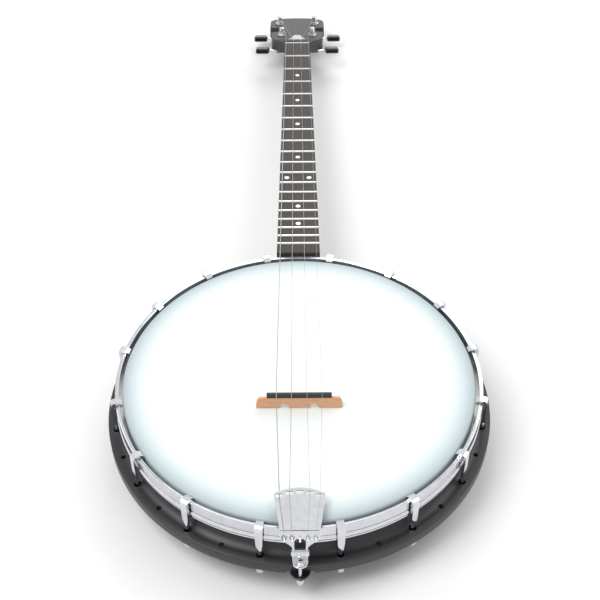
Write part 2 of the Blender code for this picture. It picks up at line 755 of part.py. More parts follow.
def make_neck(neck_frame, peg_frame, tuner_frames):
    start = board_start() - 8 * MM
    length = -board_start()
    top = -BOARD_THICK
    marks = [0, 6, 14, 22, 30, 38, 46, 54, 62, 72, 110, 200, 300]
    stations = [start] + [board_start() + mark * MM * length / 0.4 for mark in marks[1:]]
    sections = []
    for y in stations:
        along = max(0.0, y - board_start())
        depth = heel_depth(along)
        share = (depth - NECK_DEPTH) / (HEEL_DEPTH - NECK_DEPTH)
        half = board_width(max(y, board_start())) / 2
        sections.append(neck_section(y, top, half, depth, 2.4 - 0.6 * share))
    blend = BOARD_PAST_NUT + NUT_THICK + 2 * GLUE
    half = BOARD_NUT_WIDTH / 2
    sections.append(neck_section(blend, top, half, NECK_DEPTH, 2.4))
    sections.append(neck_section(blend + 8 * MM, top - 2.5 * MM, half, 11.5 * MM, 2.4))
    sections.append(neck_section(blend + 18 * MM, top - 4.5 * MM, half * 0.9, 8.5 * MM, 2.4))
    neck = loft("neck", sections, BLACK_LACQUER, neck_frame)
    slab = plate("peghead_slab", peg_outline(), -PEG_THICK, 0.0, parent=peg_frame)
    slot_half = TRUSS_NUT_RADIUS + GAP
    slot_low = -BOARD_THICK - 2 * (TRUSS_NUT_RADIUS + GAP)
    channel = box(
        "truss_channel",
        (-slot_half, board_start() + HEEL_FOOT, slot_low),
        (slot_half, blend + TRUSS_NUT_LENGTH + 2 * GAP, NUT_HEIGHT),
        parent=neck_frame,
    )
    posts = [frame.location for frame in tuner_frames]
    lines = [((p.x, p.y, -PEG_THICK - GAP), (p.x, p.y, GAP)) for p in posts]
    holes = rods("post_holes", lines, BUSH_RADIUS + GAP, 12, parent=peg_frame)
    sockets = [
        ((0, RIM_INNER, -depth), (0, SKIRT_RADIUS + BOLT_GRIP + GAP, -depth))
        for depth in (BOLT_DEPTH, ROD_DEPTH)
    ]
    bores = rods("heel_bores", sockets, ROD_END_RADIUS + GLUE, 12)
    join(neck, slab)
    cut(neck, rim_keep_out(), channel, holes, bores)
    settle(neck)


def make_truss_rod(neck_frame):
    end = BOARD_PAST_NUT + NUT_THICK + TRUSS_NUT_LENGTH
    start = board_start() + HEEL_FOOT + GAP
    nut_start = end - TRUSS_NUT_LENGTH
    profile = [
        (0.0, -start),
        (TRUSS_RADIUS, -start),
        (TRUSS_RADIUS, -nut_start),
        (TRUSS_NUT_RADIUS, -nut_start),
        (TRUSS_NUT_RADIUS, -end),
        (0.0, -end),
    ]
    rod = turned("truss_rod", profile, steps=8, closed=False, material=STEEL, parent=neck_frame)
    lying(rod, -BOARD_THICK - GAP - TRUSS_NUT_RADIUS)


def fret_section(y, half_tang, floor):
    """A fret across the board: its crown, and its tang below."""
    w = FRET_WIDTH / 2
    seat = GLUE / 2
    return [
        (y - w, seat),
        (y - w * 0.5, FRET_HEIGHT),
        (y + w * 0.5, FRET_HEIGHT),
        (y + w, seat),
        (y + half_tang, seat),
        (y + half_tang, floor),
        (y - half_tang, floor),
        (y - half_tang, seat),
    ]


def dot_places():
    places = []
    for number in DOT_FRETS:
        y = (fret_y(number - 1) + fret_y(number)) / 2
        spread = (-DOUBLE_DOT_SPREAD, DOUBLE_DOT_SPREAD) if number == DOUBLE_DOT else (0.0,)
        places += [(x, y) for x in spread]
    return places


def make_fingerboard(neck_frame):
    low, high = -BOARD_THICK + GLUE, 0.0
    start, end = board_start(), BOARD_PAST_NUT
    outline = [(board_width(start) / 2, start), (board_width(0.0) / 2, end)]
    board = plate("fingerboard", mirrored(outline), low, high, BLACK_WOOD, neck_frame)
    wide = max(board_width(start), board_width(0.0))
    half = TANG_THICK / 2
    slots = []
    comb = bmesh.new()
    for number in range(FRETS + 1):
        y = fret_y(number)
        play = half + GLUE
        slots.append(((-wide, y - play, -TANG_DEPTH - GLUE), (wide, y + play, GAP)))
        reach = board_width(y) / 2 - FRET_INSET
        section = fret_section(y, half, -TANG_DEPTH)
        left = [comb.verts.new((-reach, p, z)) for p, z in section]
        right = [comb.verts.new((reach, p, z)) for p, z in section]
        comb.faces.new(left)
        comb.faces.new(reversed(right))
        for i in range(len(section)):
            j = (i + 1) % len(section)
            comb.faces.new((left[i], right[i], right[j], left[j]))
    frets = from_bmesh("frets", comb, NICKEL, neck_frame)
    tie_half = TIE_WIDTH / 2
    tie_top = -TANG_DEPTH + TIE_HEIGHT / 3
    tie_low = tie_top - TIE_HEIGHT
    last, first = fret_y(FRETS) - half, half
    tie = box(
        "fret_tie",
        (FRET_TIE_X - tie_half, last, tie_low),
        (FRET_TIE_X + tie_half, first, tie_top),
        parent=neck_frame,
    )
    settle(join(frets, tie))
    tunnel = box(
        "fret_tie_tunnel",
        (FRET_TIE_X - tie_half - GLUE, last - GLUE, tie_low - GLUE),
        (FRET_TIE_X + tie_half + GLUE, first + GLUE, tie_top + GLUE),
        parent=neck_frame,
    )
    places = dot_places()
    pins = [((x, y, low + GLUE), (x, y, 0.0)) for x, y in places]
    dots = rods("position_dots", pins, DOT_RADIUS, 8, PEARL, neck_frame)
    ys = [y for _, y in places]
    middle = [y for x, y in places if x > 0.0][0]
    base, roof = low + GLUE, low + GLUE + TIE_HEIGHT
    spread = DOUBLE_DOT_SPREAD
    spine = [((-tie_half, min(ys), base), (tie_half, max(ys), roof))]
    bar = [((-spread, middle - tie_half, base), (spread, middle + tie_half, roof))]
    join(dots, boxes("dot_spine", spine, neck_frame), boxes("dot_bar", bar, neck_frame))
    settle(dots)
    play = GLUE
    holes = [((x, y, low - GAP), (x, y, GAP)) for x, y in places]
    wells = rods("dot_wells", holes, DOT_RADIUS + play, 8, parent=neck_frame)
    grown = []
    for (a, b, c), (d, e, f) in spine + bar:
        grown.append(((a - play, b - play, low - GAP), (d + play, e + play, f + play)))
    cut(board, boxes("fret_slots", slots, neck_frame), tunnel, wells)
    cut(board, boxes("dot_spine_groove", grown[:1], neck_frame))
    cut(board, boxes("dot_bar_groove", grown[1:], neck_frame))
    settle(board)


def make_nut(neck_frame):
    low = BOARD_PAST_NUT + GLUE
    half = BOARD_NUT_WIDTH / 2
    nut = box(
        "nut",
        (-half, low, -BOARD_THICK + GLUE),
        (half, low + NUT_THICK, NUT_HEIGHT),
        BLACK_NUT,
        neck_frame,
    )
    slots = []
    for place, radius in zip(STRING_PLACES, STRING_RADII):
        over, leave = nut_crossing(place, radius)
        x, floor, side = over.x, leave.z - radius - GLUE, NUT_SLOT / 2
        low_corner = (x - side, low - GAP, floor)
        slots.append((low_corner, (x + side, leave.y + GAP, NUT_HEIGHT + GAP)))
    return settle(cut(nut, boxes("nut_slots", slots, neck_frame)))


def nut_crossing(place, radius):
    """Neck-frame points of a string on the zero fret and where it leaves its slot in the nut."""
    over = Vector((place * NUT_SPACING, 0.0, FRET_HEIGHT + GLUE + radius))
    far = BOARD_PAST_NUT + NUT_THICK + 2 * GLUE
    leave = Vector((over.x, far, over.z - far * math.tan(PEG_ANGLE)))
    return over, leave


def make_truss_cover(peg_frame):
    """A bell-shaped plate with its three screw heads."""
    low = COVER_START
    half = COVER_WIDTH / 2
    shape = [(half, low), (half, low + 3 * MM)]
    shape += [(half * 0.72, low + COVER_LENGTH * 0.38), (half * 0.55, low + COVER_LENGTH * 0.62)]
    shape += [(half * 0.42, low + COVER_LENGTH * 0.88), (half * 0.2, low + COVER_LENGTH)]
    base = GLUE
    cover = plate(
        "truss_rod_cover", mirrored(shape), base, base + COVER_THICK, GREY_PLASTIC, peg_frame
    )
    screws = []
    for x, y in ((-half * 0.78, low + 2.4 * MM), (half * 0.78, low + 2.4 * MM), (0, low + COVER_LENGTH * 0.87)):
        screws.append(((x, y, base + COVER_THICK / 2), (x, y, base + COVER_THICK + 0.5 * MM)))
    return settle(join(cover, rods("cover_screws", screws, 1.3 * MM, 8, parent=peg_frame)))


def make_bridge():
    """The maple bridge stands square at its tail side and leans in at its neck side."""
    top = BRIDGE_HEIGHT - CAP_HEIGHT
    half, top_half = BRIDGE_LENGTH / 2, BRIDGE_TOP_LENGTH / 2
    arch = ARCH_WIDTH / 2
    centre = ARCH_SPACING / 2
    base = GLUE
    right = [(0.0, base), (centre - arch, base)]
    right += [(centre - arch, ARCH_HEIGHT * 0.6), (centre - arch * 0.5, ARCH_HEIGHT)]
    right += [(centre + arch * 0.5, ARCH_HEIGHT), (centre + arch, ARCH_HEIGHT * 0.6)]
    right += [(centre + arch, base), (half, base), (half, top * 0.4), (top_half, top)]
    outline = right[1:] + [(-x, z) for x, z in reversed(right[1:])]
    tail = BRIDGE_Y - BRIDGE_TOP / 2

    def face(near):
        rows = []
        for x, z in outline:
            share = (z - base) / (top - base)
            thick = BRIDGE_FOOT + (BRIDGE_TOP - BRIDGE_FOOT) * share
            rows.append((x, tail + (thick if near else 0.0), z))
        return rows

    loft("bridge", [face(False), face(True)], MAPLE)
    box(
        "bridge_cap",
        (-CAP_LENGTH / 2, tail, top + GLUE),
        (CAP_LENGTH / 2, tail + BRIDGE_TOP, BRIDGE_HEIGHT),
        BLACK_WOOD,
    )


def plate_front(x):
    """World y of the tailpiece plate's curved front edge."""
    half = PLATE_FRONT_WIDTH / 2
    radius = (half**2 + PLATE_CROWN**2) / (2 * PLATE_CROWN)
    return -PLATE_FRONT - radius + math.sqrt(radius**2 - x**2)


def make_tail_plate():
    half = PLATE_FRONT_WIDTH / 2
    front = [(half * i / 5, plate_front(half * i / 5)) for i in range(5, -1, -1)]
    outline = mirrored([(PLATE_BACK_WIDTH / 2, -PLATE_BACK), *front])
    low = PLATE_TOP - PLATE_THICK
    made = plate("tailpiece_plate", outline, low, PLATE_TOP, CHROME)
    slots = []
    for i in range(-2, 3):
        x = i * LOUVRE_SPACING
        y = plate_front(x) - LOUVRE_SETBACK
        reach, long = LOUVRE_WIDTH / 2, LOUVRE_LENGTH / 2
        slots.append(((x - reach, y - long, low - GAP), (x + reach, y + long, PLATE_TOP + GAP)))
    return settle(cut(made, boxes("louvre_slots", slots)))


def make_tail_base():
    thick = BASE_THICK / 2
    bar_y = -PLATE_BACK - 2 * GAP
    level = PLATE_TOP - thick
    foot_z = -FOOT_DEPTH - thick
    leg = LEG_WIDTH / 2
    wide = PLATE_BACK_WIDTH / 2
    slope = math.sqrt(0.5)
    end = LEG_Y - thick - FOOT_LENGTH
    stations = [
        (bar_y, level, wide, 0, 1, thick),
        (LEG_Y + 1.4 * thick, level, wide, 0, 1, thick),
        (LEG_Y + 0.3 * thick, level - 0.3 * thick, wide, -slope, slope, thick),
        (LEG_Y, level - 1.5 * thick, wide, -1, 0, thick),
        (LEG_Y, WINDOW_TOP - 1 * MM, wide * 0.92, -1, 0, thick),
        (LEG_Y, -WINDOW_HEIGHT * 0.32, leg * 1.35, -1, 0, thick),
        (LEG_Y, -WINDOW_HEIGHT * 0.55, leg, -1, 0, thick),
        (LEG_Y, foot_z + 1.6 * thick, leg, -1, 0, thick),
        (LEG_Y - 0.4 * thick, foot_z + 0.4 * thick, leg, -slope, slope, thick),
        (LEG_Y - 1.6 * thick, foot_z, leg, 0, 1, thick),
        (end + FOOT_LENGTH * 0.35, foot_z, leg * 0.86, 0, 1, thick),
        (end + FOOT_LENGTH * 0.1, foot_z, leg * 0.5, 0, 1, thick),
        (end, foot_z, leg * 0.2, 0, 1, thick),
    ]
    base = loft("tailpiece_base", strip_sections(stations), CHROME)
    window = plate("tail_window", window_outline(), -thick - 2 * MM, thick + 2 * MM)
    window.matrix_local = Matrix.Translation((0, LEG_Y, 0)) @ Matrix.Rotation(math.pi / 2, 4, "X")
    window_floor = WINDOW_TOP - WINDOW_HEIGHT
    bead = box(
        "tail_bead",
        (-leg - thick, LEG_Y - 2.2 * thick, window_floor - 1 * MM - BEAD_HEIGHT),
        (leg + thick, LEG_Y + thick / 2, window_floor - 1 * MM),
    )
    prongs = []
    for i in range(-2, 3):
        x = i * PRONG_SPACING
        prongs.append(((x, LEG_Y, PRONG_HEIGHT), (x, LEG_Y - thick - PRONG_LENGTH, PRONG_HEIGHT)))
    pegs = rods("tail_prongs", prongs, PRONG_RADIUS, 8)
    bore = rods(
        "foot_bore",
        [((0, TAIL_BOLT_Y, foot_z - 2 * thick), (0, TAIL_BOLT_Y, foot_z + 2 * thick))],
        TAIL_BOLT_RADIUS + GAP,
        10,
    )
    join(base, bead, pegs)
    return settle(cut(base, window, bore))


def window_outline():
    half = WINDOW_WIDTH / 2
    low, high = WINDOW_TOP - WINDOW_HEIGHT, WINDOW_TOP
    return [
        (-half, low),
        (half, low),
        (half, high - half * 0.6),
        (half * 0.6, high),
        (-half * 0.6, high),
        (-half, high - half * 0.6),
    ]


def make_tail_bracket():
    """A strap under the flange: its leg is held on the rim's wall, its round end takes the bolt."""
    half = BRACKET_WIDTH / 2
    reach = FLANGE_RADIUS + BRACKET_REACH
    wall = SKIRT_RADIUS + GAP
    edge = reach - half
    nose = [(half * math.cos(a), -edge - half * math.sin(a)) for a in nose_angles()]
    outline = [(half, -wall), *nose, (-half, -wall)]
    top = -BRACKET_CEILING - GAP
    strap = plate("tailpiece_bracket", outline, top - BRACKET_THICK, top, BLACK_STEEL)
    leg = box(
        "bracket_leg",
        (-half, -wall - BRACKET_THICK, -FLANGE_FLOOR - BRACKET_LEG),
        (half, -wall, top),
    )
    rod_hole = rods(
        "bracket_rod_hole",
        [((0, -wall + 2 * GAP, -ROD_DEPTH), (0, -wall - 2 * BRACKET_THICK, -ROD_DEPTH))],
        ROD_END_RADIUS + GAP,
        12,
    )
    bolt_hole = rods(
        "bracket_bolt_hole",
        [((0, TAIL_BOLT_Y, top + GAP), (0, TAIL_BOLT_Y, top - 2 * BRACKET_THICK))],
        TAIL_BOLT_RADIUS + GAP,
        10,
    )
    join(strap, leg)
    return settle(cut(strap, rod_hole, bolt_hole))


def nose_angles():
    return [math.radians(180 * i / 10) for i in range(11)]


def make_tail_bolt():
    """The bolt with its domed head on the foot and its acorn nut under the bracket."""
    seat = -FOOT_DEPTH + GAP
    top = -BRACKET_CEILING - GAP
    nut = top - BRACKET_THICK - GAP
    low = nut - TAIL_NUT_HEIGHT
    profile = [
        (0.0, seat + TAIL_HEAD_HEIGHT),
        (TAIL_HEAD_RADIUS * 0.55, seat + TAIL_HEAD_HEIGHT * 0.88),
        (TAIL_HEAD_RADIUS, seat + TAIL_HEAD_HEIGHT * 0.35),
        (TAIL_HEAD_RADIUS, seat),
        (TAIL_BOLT_RADIUS, seat),
        (TAIL_BOLT_RADIUS, nut),
        (TAIL_NUT_RADIUS, nut),
        (TAIL_NUT_RADIUS, nut - TAIL_NUT_HEIGHT * 0.5),
        (TAIL_NUT_RADIUS * 0.72, nut - TAIL_NUT_HEIGHT * 0.85),
        (0.0, low),
    ]
    bolt = turned("tailpiece_bolt", profile, steps=10, closed=False, material=CHROME)
    bolt.location = (0.0, TAIL_BOLT_Y, 0.0)


def gear_outline():
    """The worm wheel, with its teeth half a pitch from where the worm's thread crosses."""
    root, tip = GEAR_PITCH_RADIUS - TOOTH_IN, GEAR_PITCH_RADIUS + TOOTH_OUT
    lead = (THREAD_START + WORM_PITCH / 2) / GEAR_PITCH_RADIUS
    points = []
    for i in range(GEAR_TEETH):
        middle = -math.pi / 2 + lead + 2 * math.pi * i / GEAR_TEETH
        for radius, half in ((root, -1.5), (tip, -0.75), (tip, 0.75), (root, 1.5)):
            a = middle + half * TOOTH_HALF / radius
            points.append((radius * math.cos(a), radius * math.sin(a)))
    return points


def make_post():
    """The post and the worm wheel on its foot, which turn as one."""
    low = WORM_LEVEL - GEAR_THICK / 2
    gear = plate("tuner_post_1", gear_outline(), low, low + GEAR_THICK, CHROME)
    cap = POST_HEIGHT - 2.2 * MM
    profile = [
        (0.0, POST_HEIGHT),
        (POST_CAP_RADIUS * 0.7, POST_HEIGHT - 0.4 * MM),
        (POST_CAP_RADIUS, cap + 0.6 * MM),
        (POST_RADIUS, cap),
        (POST_RADIUS, low + GEAR_THICK / 2),
        (SHAFT_RADIUS, low + GEAR_THICK / 2),
        (SHAFT_RADIUS, low - GAP),
        (0.0, low - GAP),
    ]
    stem = turned("post_stem", profile, steps=10, closed=False)
    return settle(join(gear, stem))


def make_worm_shaft():
    """The worm on its shaft: its thread and root are swept along a helix and closed at the ends."""
    bm = bmesh.new()
    profile = (
        (WORM_CORE, -2 * TOOTH_HALF),
        (WORM_RADIUS, -0.8 * TOOTH_HALF),
        (WORM_RADIUS, 0.8 * TOOTH_HALF),
        (WORM_CORE, 2 * TOOTH_HALF),
    )
    steps = int(WORM_TURNS * WORM_STEPS)
    rows = []
    for step in range(steps + 1):
        turn = 2 * math.pi * step / WORM_STEPS
        along = THREAD_START + WORM_PITCH * step / WORM_STEPS
        row = []
        for r, x in profile:
            row.append(bm.verts.new((x + along, r * math.cos(turn), r * math.sin(turn))))
        rows.append(row)
    for i in range(steps):
        one, two = rows[i], rows[i + 1]
        for j in range(3):
            bm.faces.new((one[j], two[j], two[j + 1], one[j + 1]))
        if i + WORM_STEPS < steps:
            ahead = i + WORM_STEPS
            bm.faces.new((one[3], two[3], rows[ahead + 1][0], rows[ahead][0]))
    first, last = rows[0], rows[-1]
    low_loop = [row[0] for row in rows[: WORM_STEPS + 1]] + [first[3], first[2], first[1]]
    high_loop = [row[3] for row in rows[-WORM_STEPS - 1 :]] + [last[2], last[1], last[0]]
    for loop, x in ((low_loop, first[0].co.x - GAP), (high_loop, last[3].co.x + GAP)):
        tip = bm.verts.new((x, 0.0, 0.0))
        for i in range(len(loop)):
            bm.faces.new((loop[i], loop[(i + 1) % len(loop)], tip))
    worm = from_bmesh("tuner_shaft_1", bm, CHROME)
    far = BUTTON_START + BUTTON_BORE - GAP
    near = -(GEAR_PITCH_RADIUS + TOOTH_OUT + 2 * GAP + HOUSING_WALL)
    rod = rods("worm_rod", [((near, 0, 0), (far, 0, 0))], SHAFT_RADIUS, 8)
    return settle(join(worm, rod))


def make_housing():
    """An open box under the peghead, with bearings for the shaft and an ear with its screw."""
    reach = GEAR_PITCH_RADIUS + TOOTH_OUT + 2 * GAP
    near = CENTRES + WORM_RADIUS + 2 * GAP
    floor = WORM_LEVEL - WORM_RADIUS - GAP
    top = -PEG_THICK - GAP
    wall = HOUSING_WALL
    bm = bmesh.new()
    bmesh.ops.create_cube(bm, size=1.0)
    low = Vector((-reach - wall, -near - wall, floor - wall))
    high = Vector((reach + wall, reach + wall, top))
    bmesh.ops.scale(bm, vec=high - low, verts=bm.verts)
    bmesh.ops.translate(bm, vec=(low + high) / 2, verts=bm.verts)
    under = [e for e in bm.edges if max(v.co.z for v in e.verts) < (low.z + high.z) / 2]
    bmesh.ops.bevel(bm, geom=under, offset=1.8 * MM, segments=2, affect="EDGES", profile=0.5)
    shell = from_bmesh("tuner_housing_1", bm, CHROME)
    ear = plate("housing_ear", ear_outline(reach + wall), top - wall, top)
    screw_y = reach + wall + HOUSING_EAR * 0.5
    screw = rods(
        "ear_screw", [((0, screw_y, top - 2.2 * wall), (0, screw_y, top - wall / 2))], 2.1 * MM, 8
    )
    hollow = box("housing_hollow", (-reach, -near, floor), (reach, reach, top + GAP))
    line = [((-2 * reach, -CENTRES, WORM_LEVEL), (2 * reach, -CENTRES, WORM_LEVEL))]
    bearing = rods("housing_bearing", line, SHAFT_RADIUS + GLUE, 8)
    join(shell, ear, screw)
    return settle(cut(shell, hollow, bearing))


def ear_outline(reach):
    tip = reach + HOUSING_EAR
    half = reach * 0.5
    return [(-reach * 0.9, reach * 0.6), (reach * 0.9, reach * 0.6), (half, tip), (-half, tip)]


def make_button():
    bm = bmesh.new()
    bmesh.ops.create_cube(bm, size=1.0)
    size = Vector((BUTTON_LENGTH, BUTTON_WIDTH, BUTTON_THICK))
    bmesh.ops.scale(bm, vec=size, verts=bm.verts)
    bmesh.ops.bevel(
        bm, geom=bm.edges[:], offset=BUTTON_ROUND, segments=1, affect="EDGES", profile=0.5
    )
    bmesh.ops.translate(bm, vec=(BUTTON_START + BUTTON_LENGTH / 2, 0, 0), verts=bm.verts)
    button = from_bmesh("tuner_button_1", bm, BLACK_PLASTIC)
    start = BUTTON_START - GAP
    line = [((start, 0, 0), (BUTTON_START + BUTTON_BORE, 0, 0))]
    return settle(cut(button, rods("button_bore", line, SHAFT_RADIUS + GLUE, 8)))


def make_bushing():
    """A threaded tube through the peghead with its washer and nut on the face."""
    top, washer, face = BUSH_TOP, GAP + WASHER_THICK, GAP
    low = -PEG_THICK + 1 * MM
    profile = [
        (BUSH_NUT_RADIUS, top),
        (BUSH_NUT_RADIUS, washer),
        (WASHER_RADIUS, washer),
        (WASHER_RADIUS, face),
        (BUSH_RADIUS, face),
        (BUSH_RADIUS, low),
        (POST_BORE, low),
        (POST_BORE, top),
    ]
    return settle(turned("tuner_bushing_1", profile, steps=10, material=CHROME))


def tuner_place(side, upper):
    x, y = UPPER_POST if upper else LOWER_POST
    return side * x, y


def make_tuners(frames):
    """Four tuners. A left one's shaft is turned half round, which keeps its thread's hand."""
    made = {
        "post": make_post(),
        "shaft": make_worm_shaft(),
        "housing": make_housing(),
        "button": make_button(),
        "bushing": make_bushing(),
    }
    shaft_axis = Matrix.Translation((0, -CENTRES, WORM_LEVEL))
    for i, (frame, (side, _)) in enumerate(zip(frames, TUNERS)):
        swing = shaft_axis @ Matrix.Rotation(0 if side > 0 else math.pi, 4, "Z")
        for name, obj in made.items():
            place = swing if name in ("shaft", "button") else Matrix.Identity(4)
            if i == 0:
                obj.parent = frame
                obj.matrix_local = place
            else:
                copy_of(obj, f"tuner_{name}_{i + 1}", frame, place)


def string_curve(name, points, radius):
    curve = bpy.data.curves.new(name, "CURVE")
    curve.dimensions = "3D"
    curve.bevel_depth = radius
    curve.bevel_resolution = 1
    curve.use_fill_caps = True
    curve.materials.append(STEEL)
    spline = curve.splines.new("POLY")
    spline.points.add(len(points) - 1)
    for point, place in zip(spline.points, points):
        point.co = (*place, 1.0)
    obj = bpy.data.objects.new(name, curve)
    PARTS.objects.link(obj)
    return obj


def winding(post, start, radius, side):
    """Peghead-frame points of a string from the nut, and of its turns around a post."""
    ring = POST_RADIUS + GAP + radius
    centre = Vector((-side * post[0], post[1]))
    begin = Vector((-side * start.x, start.y))
    line = centre - begin
    heading = math.atan2(line.y, line.x) - math.asin(ring / line.length)
    pitch = 2 * radius + WINDING_GAP
    base = BUSH_TOP + GAP + radius
    first = heading - math.pi / 2
    points = []
    count = int(WINDING_TURNS * TURN_POINTS)
    for i in range(count + 1):
        turns = i / TURN_POINTS
        a = first + 2 * math.pi * turns
        x = centre.x + ring * math.cos(a)
        y = centre.y + ring * math.sin(a)
        points.append(Vector((-side * x, y, base + pitch * turns)))
    return points


def make_strings(neck_frame, peg_frame):
    """Each string runs whole: prong, louvre, bridge, zero fret, nut slot and post."""
    neck, peg = neck_frame.matrix_world, peg_frame.matrix_world
    web = LEG_Y - BASE_THICK / 2
    least = []
    prongs = (-2, -1, 1, 2)
    for i, radius in enumerate(STRING_RADII):
        clear = GAP + radius
        tail_x = prongs[i] * PRONG_SPACING
        louvre_x = prongs[i] * LOUVRE_SPACING
        louvre_y = plate_front(louvre_x) - LOUVRE_SETBACK
        step = LOUVRE_LENGTH / 2 + 0.1 * MM
        back = web - clear
        turn = PRONG_RADIUS + clear
        loop = []
        for k in range(7):
            a = math.pi + math.pi * k / 6
            x, z = turn * math.cos(a), turn * math.sin(a)
            loop.append((tail_x - x, back, PRONG_HEIGHT + z))
        rise = PLATE_TOP + clear
        points = [(loop[0][0], back, PRONG_HEIGHT + 1.6 * MM), *loop]
        points += [(tail_x - turn, back, PRONG_HEIGHT + 1.2 * MM)]
        points += [(tail_x, back, PLATE_TOP - BASE_THICK / 2)]
        points += [(tail_x, back + 0.5 * clear, rise - 0.4 * clear)]
        points += [(tail_x, LEG_Y + BASE_THICK, rise)]
        points += [(louvre_x, louvre_y - step, rise)]
        points += [(louvre_x, louvre_y + step, PLATE_TOP - PLATE_THICK - clear)]
        place = STRING_PLACES[i]
        points += [(place * BRIDGE_SPACING, BRIDGE_Y, BRIDGE_HEIGHT + GLUE + radius)]
        over, leave = nut_crossing(place, radius)
        points += [tuple(neck @ over), tuple(neck @ leave)]
        side = -1 if place < 0 else 1
        outer = abs(place) > 1
        post = (side * LOWER_POST[0], LOWER_POST[1]) if outer else (side * UPPER_POST[0], UPPER_POST[1])
        start = peg.inverted() @ neck @ leave
        coil = winding(post, start, radius, side)
        points += [tuple(peg @ p) for p in coil]
        string_curve(f"string_{i + 1}", points, radius)
        spaced = [
            (a - b).length - 2 * radius
            for n, a in enumerate(coil)
            for b in coil[n + TURN_POINTS // 2 :]
        ]
        least.append(min(spaced))
    print("least gap between string turns, mm:", round(min(least) / MM, 2))


def main():
    y, z = nut_place()
    lean = Matrix.Rotation(-NECK_ANGLE, 4, "X")
    neck_frame = frame_at("neck_frame", Matrix.Translation((0, y, z)) @ lean)
    peg_start = BOARD_PAST_NUT + NUT_THICK + 2 * GLUE + 0.4 * MM
    back = Matrix.Rotation(-PEG_ANGLE, 4, "X")
    peg_place = Matrix.Translation((0, peg_start, -PEG_DROP)) @ back
    peg_frame = frame_at("peghead_frame", peg_place, neck_frame)
    tuner_frames = []
    for i, (side, upper) in enumerate(TUNERS):
        x, along = tuner_place(side, upper)
        place = Matrix.Translation((x, along, 0))
        tuner_frames.append(frame_at(f"tuner_frame_{i + 1}", place, peg_frame))
    bpy.context.view_layer.update()

    make_rim()
    make_head()
    make_hoops()
    make_hooks()
    make_pot_rods()
    make_neck(neck_frame, peg_frame, tuner_frames)
    make_truss_rod(neck_frame)
    make_fingerboard(neck_frame)
    make_nut(neck_frame)
    make_truss_cover(peg_frame)
    make_bridge()
    make_tail_plate()
    make_tail_base()
    make_tail_bracket()
    make_tail_bolt()
    make_tuners(tuner_frames)
    make_strings(neck_frame, peg_frame)


main()
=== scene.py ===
import json
import math

import bmesh
import bpy
from mathutils import Matrix, Vector


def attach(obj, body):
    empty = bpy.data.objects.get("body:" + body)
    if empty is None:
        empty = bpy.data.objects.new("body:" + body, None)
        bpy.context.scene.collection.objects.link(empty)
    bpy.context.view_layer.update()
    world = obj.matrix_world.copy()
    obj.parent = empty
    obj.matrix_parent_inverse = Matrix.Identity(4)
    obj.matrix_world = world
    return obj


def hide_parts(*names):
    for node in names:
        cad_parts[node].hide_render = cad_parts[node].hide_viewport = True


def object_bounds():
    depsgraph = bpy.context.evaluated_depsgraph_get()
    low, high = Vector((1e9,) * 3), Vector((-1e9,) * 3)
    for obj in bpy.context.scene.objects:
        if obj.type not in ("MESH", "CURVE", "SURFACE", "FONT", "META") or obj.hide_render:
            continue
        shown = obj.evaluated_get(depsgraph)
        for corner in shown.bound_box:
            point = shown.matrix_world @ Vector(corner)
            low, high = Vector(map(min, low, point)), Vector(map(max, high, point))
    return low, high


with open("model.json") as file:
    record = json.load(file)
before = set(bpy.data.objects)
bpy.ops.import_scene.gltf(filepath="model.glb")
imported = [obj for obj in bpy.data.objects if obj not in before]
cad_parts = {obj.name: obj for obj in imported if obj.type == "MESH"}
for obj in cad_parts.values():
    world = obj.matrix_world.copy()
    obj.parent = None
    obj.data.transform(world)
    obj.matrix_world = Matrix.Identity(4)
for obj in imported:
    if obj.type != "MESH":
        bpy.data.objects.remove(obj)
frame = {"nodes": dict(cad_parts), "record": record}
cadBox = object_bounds()
mm = 0.001
nodes = frame["nodes"]
bodyOf = {node: body for body, names in frame["record"]["behaviour"]["bodies"].items() for node in names}
hookCount = 16
tunerCount = 4


# sRGB hex to the linear colour that a shader takes
def linear(hexColour):
    out = []
    for i in (0, 2, 4):
        v = int(hexColour[i:i + 2], 16) / 255
        out.append(v / 12.92 if v <= 0.04045 else ((v + 0.055) / 1.055) ** 2.4)
    return (*out, 1.0)


def newMaterial(name, colour, rough, metal=0.0, coat=0.0):
    made = bpy.data.materials.new(name)
    made.use_nodes = True
    shader = made.node_tree.nodes["Principled BSDF"]
    shader.inputs["Base Color"].default_value = linear(colour)
    shader.inputs["Roughness"].default_value = rough
    shader.inputs["Metallic"].default_value = metal
    shader.inputs["Coat Weight"].default_value = coat
    return made


# a node with its settings, and links as (input, socket) pairs
def addNode(tree, kind, links=(), **settings):
    node = tree.nodes.new(kind)
    for key, value in settings.items():
        if key in node.inputs:
            node.inputs[key].default_value = value
        else:
            setattr(node, key, value)
    for name, socket in links:
        tree.links.new(socket, node.inputs[name])
    return node


even = (1.0, 1.0, 1.0)
alongNeck = (1.0, 0.06, 1.0)  # the grain runs with the neck, about 17 times as long as it is wide
acrossBridge = (0.08, 1.0, 1.0)
grain = {"detail": 5.0, "roughness": 0.6, "lowAt": 0.3, "highAt": 0.7, "bumpDepth": 0.1}


